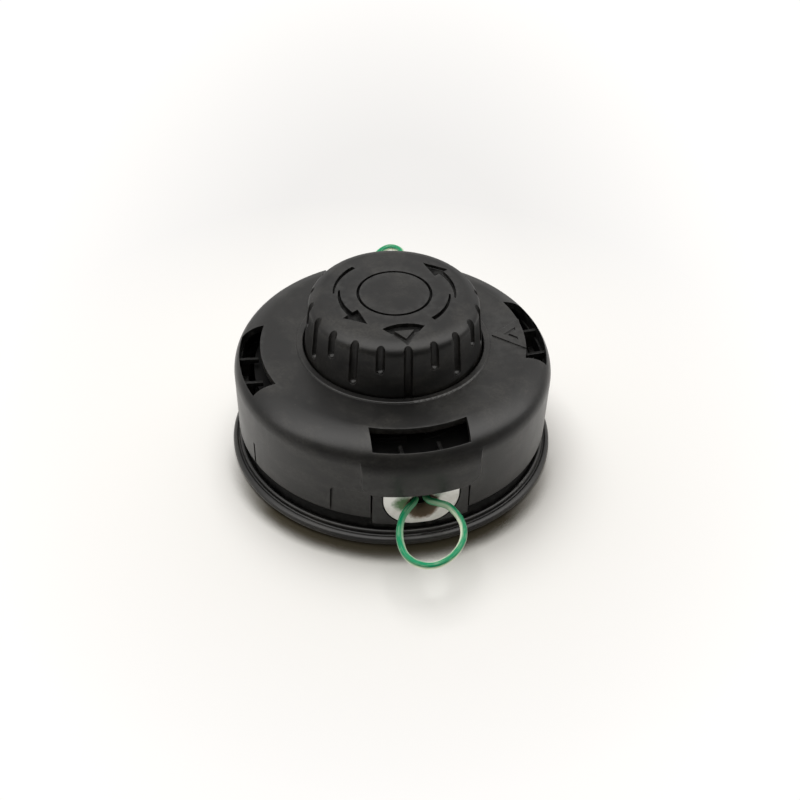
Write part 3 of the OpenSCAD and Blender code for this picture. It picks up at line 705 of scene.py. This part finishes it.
@dataclass(frozen=True)
class TwistedLine:
    """Two-tone nylon cutting line: a green core with cream along two opposite sides, which also stand in for the
    pale rim of the translucent line lit from behind, a painted highlight.

    Attributes:
        name: Name of the material.
        green: Colour of the core.
        cream: Colour of the pale sides.
        stripes: Number of pale sides.
        edges: Where a pale side begins and ends to show, on a wave from 0 to 1.
        streak: How much fine streaks break up that wave.
        fleck: How much cream shows in short streaks on the green.
    """

    name: str
    green: Colour = (0.0, 0.26, 0.11)
    cream: Colour = (0.90, 0.95, 0.76)
    stripes: int = 2
    edges: tuple[float, float] = (0.62, 1.24)
    streak: float = 0.60
    fleck: float = 0.28

    def build(self, on_tube: bool) -> bpy.types.Material:
        """Builds the material.

        Args:
            on_tube: True where the stripes follow the tube's UV map, False for wound turns.

        Returns:
            The material.
        """
        material = bpy.data.materials.new(self.name)
        material.use_nodes = True
        sheet = Sheet(material.node_tree)
        shader = material.node_tree.nodes["Principled BSDF"]
        if on_tube:
            chart = sheet.add("ShaderNodeUVMap", uv_map="UVMap")
            turn = sheet.math("MULTIPLY", sheet.add("ShaderNodeSeparateXYZ", {0: chart}).outputs["X"],
                              2 * math.pi * self.stripes)
            wave = sheet.math("MULTIPLY", sheet.math("COSINE", turn, 0.0), 0.5)
            wave = sheet.math("ADD", wave, 0.5)
            stretched = sheet.add("ShaderNodeVectorMath", {0: chart}, operation="MULTIPLY")
            stretched.inputs[1].default_value = (16.0, 11.0, 1.0)
            streaks = sheet.add("ShaderNodeTexNoise", {"Vector": stretched}, Scale=1.0, Detail=3.0).outputs["Fac"]
        else:
            wave = sheet.noise(60.0, 1.0, 0.5, (1.0, 1.0, 6.0))
            streaks = sheet.noise(900.0, 3.0)
        # On the loops the cream sides are the line's own two tones and also a painted highlight along the tube's
        # outline.
        stripe = sheet.ramp(sheet.math("ADD", wave, sheet.math("MULTIPLY", streaks, self.streak)), *self.edges)
        if on_tube:
            along = sheet.add("ShaderNodeSeparateXYZ", {0: chart}).outputs["Y"]
            bend = sheet.math("MULTIPLY", sheet.ramp(along, 0.14, 0.50), sheet.ramp(along, 0.99, 0.72))
            stripe = sheet.math("MULTIPLY", stripe, sheet.mapped(bend, 0.12, 1.0))
            fine = sheet.add("ShaderNodeVectorMath", {0: chart}, operation="MULTIPLY")
            fine.inputs[1].default_value = (30.0, 15.0, 1.0)
            flecks = sheet.add("ShaderNodeTexNoise", {"Vector": fine}, Scale=1.0, Detail=2.0).outputs["Fac"]
            pale = sheet.math("MULTIPLY", sheet.ramp(flecks, 0.52, 0.72), self.fleck)
            stripe = sheet.math("MAXIMUM", stripe, pale)
        sheet.link(sheet.blend(stripe, self.green, self.cream), shader.inputs["Base Color"])
        shader.inputs["Specular IOR Level"].default_value = 0.25
        shader.inputs["Subsurface Weight"].default_value = 0.12
        shader.inputs["Subsurface Radius"].default_value = (0.6, 1.0, 0.6)
        shader.inputs["Subsurface Scale"].default_value = 0.0006
        gloss = sheet.add("ShaderNodeMapRange", {"Value": sheet.noise(500.0)}, To_Min=0.26, To_Max=0.42)
        sheet.link(gloss, shader.inputs["Roughness"])
        bump = sheet.add("ShaderNodeBump", {"Height": sheet.noise(1500.0, 2.0)}, Strength=1.0, Distance=0.00002)
        sheet.link(bump, shader.inputs["Normal"])
        return material


# Pieces


def add_piece(name: str, mesh: bpy.types.Mesh, material: bpy.types.Material, body: Body,
              nodes: Sequence[str]) -> bpy.types.Object:
    """Adds a finished mesh as a piece of the head.

    Args:
        name: Name of the piece.
        mesh: Its mesh, in place in the row's frame.
        material: Its material.
        body: The body that it rides on.
        nodes: The CAD nodes that it stands for.

    Returns:
        The piece's object.
    """
    mesh.materials.clear()
    mesh.materials.append(material)
    piece = bpy.data.objects.new(name, mesh)
    bpy.context.scene.collection.objects.link(piece)
    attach(piece, body.value)
    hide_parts(*nodes)
    log.info("%s: %d faces, for %s", name, len(mesh.polygons), ", ".join(nodes))
    return piece


def finish_mesh(bm: bmesh.types.BMesh, name: str, sharp: float = 40.0) -> bpy.types.Mesh:
    """Turns a bmesh into a smooth-shaded mesh with its sharp edges marked.

    Args:
        bm: The bmesh, which is freed.
        name: Name of the mesh.
        sharp: Angle in degrees from which an edge stays sharp.

    Returns:
        The mesh.
    """
    for face in bm.faces:
        face.smooth = True
    for edge in bm.edges:
        edge.smooth = edge.calc_face_angle(0.0) < math.radians(sharp)
    mesh = bpy.data.meshes.new(name)
    bm.to_mesh(mesh)
    bm.free()
    return mesh


@dataclass
class Moulding:
    """A rigid piece that keeps its CAD node's form and gets its edges rounded.

    Attributes:
        node: The CAD node.
        name: Name of the piece.
        body: The body that it rides on.
        slot: The record's material slot. Not used.
        edge_radius: Width of the rounding, in metres.
        edge_angle: Angle in degrees from which an edge is rounded.
        segments: Number of steps of the rounding.
        room_z: Height of the middle of the spool's room, in metres.
        inner_from: Height from which faces that look into that room get the painted shade, in metres.
        inward: How much such a face may look outward, as a cosine.
        marks: Radius, lowest and highest place of engraved marks, whose faces get the painted shade instead.
        wall: Radius and height of a drafted wall at its foot and at its top; faces sunk in it get the painted
            shade.
        foot: Radius and height of the shaded foot of a wall, whose faces get the painted shade.
    """

    node: str
    name: str
    body: Body
    slot: Slot
    edge_radius: float = 0.12 * MM
    edge_angle: float = 28.0
    segments: int = 2
    room_z: float = 22 * MM
    inner_from: float = 6 * MM
    inward: float = -0.15
    marks: Point | None = None
    wall: tuple[float, float, float, float] | None = None
    foot: tuple[float, float] | None = None

    def build(self, material: bpy.types.Material, inner_painted_shade: bpy.types.Material | None = None) -> bpy.types.Object:
        """Builds the piece.

        Args:
            material: Its material.
            inner_painted_shade: The darker, duller material that paints shade on the faces that look inward, lie in
                marks or sit at a wall's foot, where it differs.

        Returns:
            The piece's object.
        """
        bm = bmesh.new()
        bm.from_mesh(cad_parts[self.node].data)
        bmesh.ops.remove_doubles(bm, verts=bm.verts, dist=0.002 * MM)
        bmesh.ops.dissolve_degenerate(bm, dist=0.03 * MM, edges=bm.edges)
        bmesh.ops.dissolve_limit(bm, angle_limit=math.radians(0.5), verts=bm.verts, edges=bm.edges)
        bmesh.ops.join_triangles(bm, faces=bm.faces, angle_face_threshold=math.radians(20),
                                 angle_shape_threshold=math.radians(120))
        if self.foot:
            bmesh.ops.bisect_plane(bm, geom=[*bm.verts, *bm.edges, *bm.faces], plane_co=(0, 0, self.foot[1]),
                                   plane_no=(0, 0, 1))
        mesh = finish_mesh(self.rounded(bm), self.name)
        piece = add_piece(self.name, mesh, material, self.body, [self.node])
        # Faces in hollows take the second, darker and duller material: painted shade.
        if inner_painted_shade:
            mesh.materials.append(inner_painted_shade)
            for face in mesh.polygons:
                face.material_index = int(self.shows_painted_shade(face.center, face.normal))
        weighted = piece.modifiers.new("flat_faces", "WEIGHTED_NORMAL")
        weighted.keep_sharp = True
        return piece

    def rounded(self, bm: bmesh.types.BMesh) -> bmesh.types.BMesh:
        """Bevels the sharp edges that have room for it and marks the new faces in the edge attribute.

        Where a bevel leaves the plain surface or turns a face over, the edges beside that place stay sharp,
        and the others are bevelled again.

        Args:
            bm: The piece's plain bmesh.

        Returns:
            The bmesh with its edges rounded.
        """
        layer = bm.verts.layers.float.new("edge")
        bm.normal_update()
        bm.edges.index_update()
        plain = BVHTree.FromBMesh(bm)
        sharp = [e for e in bm.edges if e.is_manifold and e.calc_face_angle(0.0) > math.radians(self.edge_angle)]
        kept = {e.index for e in sharp}
        tree, owners = self.places_along(sharp)
        while True:
            trial = bm.copy()
            trial.edges.ensure_lookup_table()
            layer = trial.verts.layers.float["edge"]
            made = bmesh.ops.bevel(trial, geom=[trial.edges[i] for i in sorted(kept)], offset=self.edge_radius,
                                   offset_type="OFFSET", affect="EDGES", segments=self.segments, profile=0.5,
                                   material=-1, clamp_overlap=False)
            for face in made["faces"]:
                for vert in face.verts:
                    vert[layer] = 1.0
            reach = 3 * self.edge_radius
            spoilt = {owners[j] for fault in self.faults(trial, plain) for _, j, _ in tree.find_range(fault, reach)}
            if not spoilt & kept:
                bm.free()
                return trial
            kept -= spoilt
            trial.free()

    def shows_painted_shade(self, middle: Vector, normal: Vector) -> bool:
        """Returns whether a face gets the painted shade: with marks and a wall given, whether it lies in an
        engraved mark or sinks in the wall; otherwise whether it sits at the shaded foot of a wall or looks towards
        the room of the spool.
        """
        if self.marks and self.wall:
            radius, low, high = self.marks
            foot, foot_z, top, top_z = self.wall
            surface = foot + (top - foot) * (middle.z - foot_z) / (top_z - foot_z)
            sunk = middle.z < top_z and middle.xy.length < surface - 0.3 * MM
            return sunk or (middle.xy.length < radius and low < middle.z < high)
        if self.foot and middle.xy.length < self.foot[0] and middle.z < self.foot[1] and normal.z > -0.5:
            return True
        out = middle - Vector((0, 0, self.room_z))
        return middle.z > self.inner_from and normal.dot(out.normalized()) < self.inward

    @staticmethod
    def places_along(edges: Sequence[bmesh.types.BMEdge]) -> tuple[KDTree, list[int]]:
        """Samples points along edges.

        Args:
            edges: The edges.

        Returns:
            A tree of the points, and for each point the index of its edge.
        """
        points, owners = [], []
        for edge in edges:
            start, end = (v.co for v in edge.verts)
            count = max(1, int((end - start).length / (0.5 * MM)))
            points += [start.lerp(end, k / count) for k in range(count + 1)]
            owners += [edge.index] * (count + 1)
        tree = KDTree(len(points))
        for j, point in enumerate(points):
            tree.insert(point, j)
        tree.balance()
        return tree, owners

    def faults(self, bm: bmesh.types.BMesh, plain: BVHTree) -> list[Vector]:
        """Finds where a bevelled mesh leaves the plain surface or has a face turned over.

        Args:
            bm: The bevelled mesh.
            plain: The plain surface.

        Returns:
            The places of the faults.
        """
        far = [v.co.copy() for v in bm.verts if plain.find_nearest(v.co)[3] > 0.6 * self.edge_radius]
        bm.normal_update()
        turned = []
        for face in bm.faces:
            middle = face.calc_center_median()
            if face.calc_area() > 1e-11 and face.normal.dot(plain.find_nearest(middle)[1]) < 0.1:
                turned.append(middle)
        return far + turned


@dataclass
class LineLoop:
    """One loop of cutting line that hangs out of an eyelet and goes back in.

    Attributes:
        node: The CAD node of the loop.
        name: Name of the piece.
        route: Points from one end round to the other, in millimetres, as in the part's source.
        diameter: Diameter of the line, in metres.
        sides: Sides of the tube.
        steps: Rings between two points of the route.
        twist: Turns of the line's section for each metre.
        lobes: Number of ridges along the line.
        lobe: Depth of the hollows between the ridges, as a share of the line's radius.
        drift: Turns of the two colours for each metre.
        phase: Turn of the two colours at the start.
    """

    node: str
    name: str
    route: Sequence[Point]
    diameter: float = 2.4 * MM
    sides: int = 20
    steps: int = 8
    twist: float = 12.0
    lobes: int = 4
    lobe: float = 0.07
    drift: float = 0.0
    phase: float = -0.07

    def centreline(self) -> list[Vector]:
        """Returns the smooth curve through the route's points, in metres."""
        points = [Vector(p) * MM for p in self.route]
        last = len(points) - 1
        line = []
        for i in range(last):
            a, b, c, d = (points[min(max(j, 0), last)] for j in range(i - 1, i + 3))
            for k in range(self.steps):
                t = k / self.steps
                line.append(0.5 * (2 * b + (c - a) * t + (2 * a - 5 * b + 4 * c - d) * t**2
                                   + (3 * b - a - 3 * c + d) * t**3))
        return [*line, points[last]]

    def build(self, material: bpy.types.Material) -> bpy.types.Object:
        """Args:
            material: Its material.

        Returns:
            The piece's object.
        """
        line = self.centreline()
        along = [0.0]
        for a, b in zip(line, line[1:]):
            along.append(along[-1] + (b - a).length)
        bm = bmesh.new()
        uv = bm.loops.layers.uv.new("UVMap")
        bmesh.ops.create_grid(bm, x_segments=self.sides, y_segments=len(line) - 1, size=0.5, calc_uvs=True)
        for face in bm.faces:
            for corner in face.loops:
                run = along[round((corner.vert.co.y + 0.5) * (len(line) - 1))]
                share = corner.vert.co.x + 0.5 + (self.twist - self.drift) * run - self.phase
                corner[uv].uv = (share, run / along[-1])
        for vert in bm.verts:
            ring = round((vert.co.y + 0.5) * (len(line) - 1))
            vert.co = self.on_section(line, ring, vert.co.x + 0.5, along[ring])
        bmesh.ops.remove_doubles(bm, verts=bm.verts, dist=0.01 * MM)
        bmesh.ops.holes_fill(bm, edges=[e for e in bm.edges if e.is_boundary])
        bmesh.ops.recalc_face_normals(bm, faces=bm.faces)
        mesh = finish_mesh(bm, self.name, 60.0)
        piece = add_piece(self.name, mesh, material, Body.BASE, [self.node])
        return piece

    def on_section(self, line: Sequence[Vector], ring: int, share: float, run: float) -> Vector:
        """Places one point of the tube.

        Args:
            line: The centreline.
            ring: Index of the ring's point on the centreline.
            share: How far round the section the point is, from 0 to 1.
            run: Length of line up to the ring, in metres.

        Returns:
            The point.
        """
        ahead = line[min(ring + 1, len(line) - 1)] - line[max(ring - 1, 0)]
        ahead.normalize()
        side = ahead.cross(Vector((0, 0, 1))).normalized()
        up = side.cross(ahead)
        turn = 2 * math.pi * share
        radius = self.diameter / 2 * (1 - self.lobe * (1 - math.cos(self.lobes * turn)) / 2)
        angle = turn + 2 * math.pi * self.twist * run
        return line[ring] + radius * (math.cos(angle) * side + math.sin(angle) * up)


FRONT_ROUTE: Sequence[Point] = (
    (-1.7, -50.5, 16.4), (-2.6, -52.6, 16.8), (-5.1, -55.6, 17.1), (-7.6, -59.2, 17.1),
    (-9.4, -64, 16.8), (-10.2, -69, 16.3), (-9.7, -73.9, 15.7), (-7.6, -77.3, 15.1),
    (-4.3, -79.3, 14.8), (-0.6, -79.6, 14.8), (3.4, -78.1, 15.1), (6.9, -75.3, 15.5),
    (9.5, -71.6, 16), (10.8, -67.2, 16.3), (10.7, -63.4, 16.7), (9.6, -60, 17.2),
    (7.7, -57.2, 17.8), (4.9, -55.4, 17.9), (2.6, -53.2, 17.3), (1.7, -50.5, 16.5))
REAR_ROUTE: Sequence[Point] = (
    (-1.7, 50.5, 16.2), (-2.4, 53, 16.6), (-3.6, 58, 17.2), (-2.8, 65, 17.8),
    (0.6, 73.5, 18), (5.6, 81, 18), (9.8, 86, 17.8), (12.6, 89, 17.7),
    (15.7, 90.5, 17.6), (18.6, 89.2, 17.6), (19.8, 85.4, 17.8), (17.6, 77.5, 18),
    (13, 68.6, 18), (8, 60.5, 17.4), (3.8, 55, 16.9), (2.2, 52.6, 16.5), (1.7, 50.5, 16.2))


@dataclass
class CuttingLine:
    """The two loops that show, and the two windings on the spool."""

    finish: TwistedLine = TwistedLine("line_loop")
    wound: TwistedLine = TwistedLine("line_wound", edges=(0.76, 0.92), streak=0.26)
    loops: Sequence[LineLoop] = field(default_factory=lambda: (
        LineLoop("front_loop", "front_line", FRONT_ROUTE),
        LineLoop("rear_loop", "rear_line", REAR_ROUTE)))

    def build(self) -> None:
        """Builds the loops and dresses the windings."""
        material = self.finish.build(on_tube=True)
        for loop in self.loops:
            loop.build(material)
        dress(self.wound.build(on_tube=False), "lower_winding", "upper_winding")


def dress(material: bpy.types.Material, *nodes: str) -> None:
    """Gives CAD nodes a material.

    Args:
        material: The material.
        *nodes: The nodes' names.
    """
    for node in nodes:
        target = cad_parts[node]
        if not target.material_slots:
            target.data.materials.append(material)
        for entry in target.material_slots:
            entry.material = material


@dataclass
class Housing:
    """The base with its drive parts, and the cover."""

    finish: MouldedPlastic = MouldedPlastic("housing_nylon")
    # Darker, duller nylon for the faces that look into the spool's room and for the foot of the base's wall:
    # painted shade.
    inner_painted_shade: MouldedPlastic = MouldedPlastic("housing_inside_painted_shade", (0.0035, 0.0035, 0.0035), (0.005, 0.005, 0.005),
                                           specular=0.12, roughness=(0.5, 0.62), dust=0.0, scuffs=0.1)
    # The faces at the foot of the base's wall, under the cover's skirt, get the painted shade.
    base: Moulding = field(default_factory=lambda: Moulding("base_housing", "base_shell", Body.BASE, Slot.HOUSING,
                                                            foot=(52.2 * MM, 8.4 * MM)))
    cover: Moulding = field(default_factory=lambda: Moulding("cover", "cover_shell", Body.BASE, Slot.HOUSING,
                                                             inward=0.22))

    def build(self, effects: EffectGroups) -> None:
        """Builds both mouldings.

        Args:
            effects: The shared shader groups.
        """
        material, inner_painted_shade = self.finish.build(effects), self.inner_painted_shade.build(effects)
        self.base.build(material, inner_painted_shade)
        self.cover.build(material, inner_painted_shade)


@dataclass
class Winder:
    """The knob and the spool that turn together."""

    finish: MouldedPlastic = MouldedPlastic("knob_nylon", colour=(0.0054, 0.0054, 0.0055), specular=0.40)
    # The spool is darker and duller than the outside nylon: painted shade of the room under the cover.
    spool: MouldedPlastic = MouldedPlastic("spool_nylon_painted_shade", (0.0035, 0.0035, 0.0035), (0.006, 0.006, 0.006),
                                           specular=0.12, roughness=(0.5, 0.62), dust=0.0, scuffs=0.1)
    # Darker, duller nylon in the knob's engraved marks and grooves: painted shade.
    sunk: MouldedPlastic = MouldedPlastic("knob_marks", (0.0030, 0.0030, 0.0031), (0.0040, 0.0040, 0.0040),
                                          specular=0.10, roughness=(0.45, 0.55), dust=0.2, scuffs=0.1)
    knob: Moulding = field(default_factory=lambda: Moulding(
        "bump_knob", "knob_shell", Body.WINDER, Slot.KNOB, marks=(21 * MM, 60.5 * MM, 62.15 * MM),
        wall=(30.1 * MM, 33 * MM, 26.4 * MM, 59.6 * MM)))

    def build(self, effects: EffectGroups) -> None:
        """Builds the knob and dresses the spool.

        Args:
            effects: The shared shader groups.
        """
        material = self.finish.build(effects)
        self.knob.build(material, self.sunk.build(effects))
        dress(self.spool.build(effects), "spool")


@dataclass
class Guides:
    """The two cast eyelets that guide the line out."""

    # Brown in both bores: stain, and painted shade inside the bores.
    bore_stain_and_shade: Colour = (0.17, 0.115, 0.08)
    # Green beside both bores: line rubbed off, and a painted reflection of the green line.
    rubbed_line_and_reflection: Colour = (0.045, 0.16, 0.04)

    def finish(self) -> BareMetal:
        """Returns the casting's finish, with brown stain and painted shade in both bores, and green beside them
        that is rubbed-off line and a painted reflection of it.
        """
        smears = []
        for side in (-1, 1):
            smears.append(Smear((5.6 * side, 53.7 * side, 17.0), (4.4, 4.0, 3.4), self.rubbed_line_and_reflection, 0.9, 0.55, 0.9))
            smears.append(Smear((0, 53.2 * side, 15.9), (6.1, 8.0, 6.1), self.bore_stain_and_shade, 0.97, 0.22, 0.35))
        return BareMetal("eyelet_casting", (0.80, 0.80, 0.775), (0.62, 0.61, 0.57), (0.34, 0.50), 700.0, 0.00005,
                         smears=tuple(smears))

    def build(self, effects: EffectGroups) -> None:
        """Builds both eyelets.

        Args:
            effects: The shared shader groups.
        """
        material = self.finish().build(effects)
        for node, name in (("front_eyelet", "front_guide"), ("rear_eyelet", "rear_guide")):
            Moulding(node, name, Body.BASE, Slot.EYELET, edge_radius=0.35 * MM, segments=3).build(material)


@dataclass
class Spring:
    """The compression spring: round wire in flat end turns and climbing turns between them.

    Attributes:
        joint: The joint that shortens it. Not used.
        travel: Travel of that joint, in metres. Not used.
        wire: Diameter of the wire, in metres.
        turns: Number of turns.
        flat: Turns that lie flat at each end.
        steps: Rings for each turn.
        sides: Sides of the wire.
    """

    joint: str = "bump_press"
    travel: float = 5 * MM
    wire: float = 1.8 * MM
    turns: float = 5.0
    flat: float = 0.8
    steps: int = 48
    sides: int = 12

    def build(self, material: bpy.types.Material) -> bpy.types.Object:
        """Builds the spring in the CAD node's box.

        Args:
            material: Its material.

        Returns:
            The piece's object.
        """
        low, high = (Vector(corner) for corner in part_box("spring"))
        wire = self.wire / 2
        coil = high.x - wire
        total = round(self.turns * self.steps)
        bm = bmesh.new()
        bmesh.ops.create_grid(bm, x_segments=self.sides, y_segments=total, size=0.5)
        for vert in bm.verts:
            turn = (vert.co.y + 0.5) * self.turns
            climb = min(max((turn - self.flat) / (self.turns - 2 * self.flat), 0.0), 1.0)
            angle = 2 * math.pi * (vert.co.x + 0.5)
            out = coil + wire * math.cos(angle)
            height = low.z + wire * (1 + math.sin(angle)) + (high.z - low.z - 2 * wire) * climb
            vert.co = (out * math.cos(2 * math.pi * turn), out * math.sin(2 * math.pi * turn), height)
        bmesh.ops.remove_doubles(bm, verts=bm.verts, dist=0.01 * MM)
        bmesh.ops.holes_fill(bm, edges=[e for e in bm.edges if e.is_boundary])
        bmesh.ops.recalc_face_normals(bm, faces=bm.faces)
        mesh = finish_mesh(bm, "coil_spring")
        piece = add_piece("coil_spring", mesh, material, Body.BASE, ["spring"])
        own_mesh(piece)
        return piece


@dataclass
class SteelParts:
    """The drive nut, the washers, the sleeve, the thrust cup, the knob's screws and the spring."""

    plated: BareMetal = BareMetal("zinc_plate", (0.60, 0.61, 0.61), (0.46, 0.46, 0.44), (0.26, 0.40))
    wire: BareMetal = BareMetal("spring_wire", (0.42, 0.43, 0.45), (0.30, 0.30, 0.30), (0.28, 0.42), 1500.0)
    spring: Spring = field(default_factory=Spring)

    def build(self, effects: EffectGroups) -> None:
        """Dresses the steel nodes and builds the spring.

        Args:
            effects: The shared shader groups.
        """
        dress(self.plated.build(effects), "drive_nut", "nut_washer", "hub_sleeve", "spring_washer", "thrust_cup",
              "knob_screws")
        self.spring.build(self.wire.build(effects))


def main() -> None:
    """Builds the studio and the head's sub-assemblies in order."""
    logging.basicConfig(level=logging.INFO, format="%(name)s: %(message)s")
    bpy.context.scene.view_settings.view_transform = "Standard"
    PhotoCamera().build()
    CuttingLine().build()
    Studio().build()
    effects = EffectGroups()
    Housing().build(effects)
    Winder().build(effects)
    Guides().build(effects)
    SteelParts().build(effects)


if __name__ == "__main__":
    main()
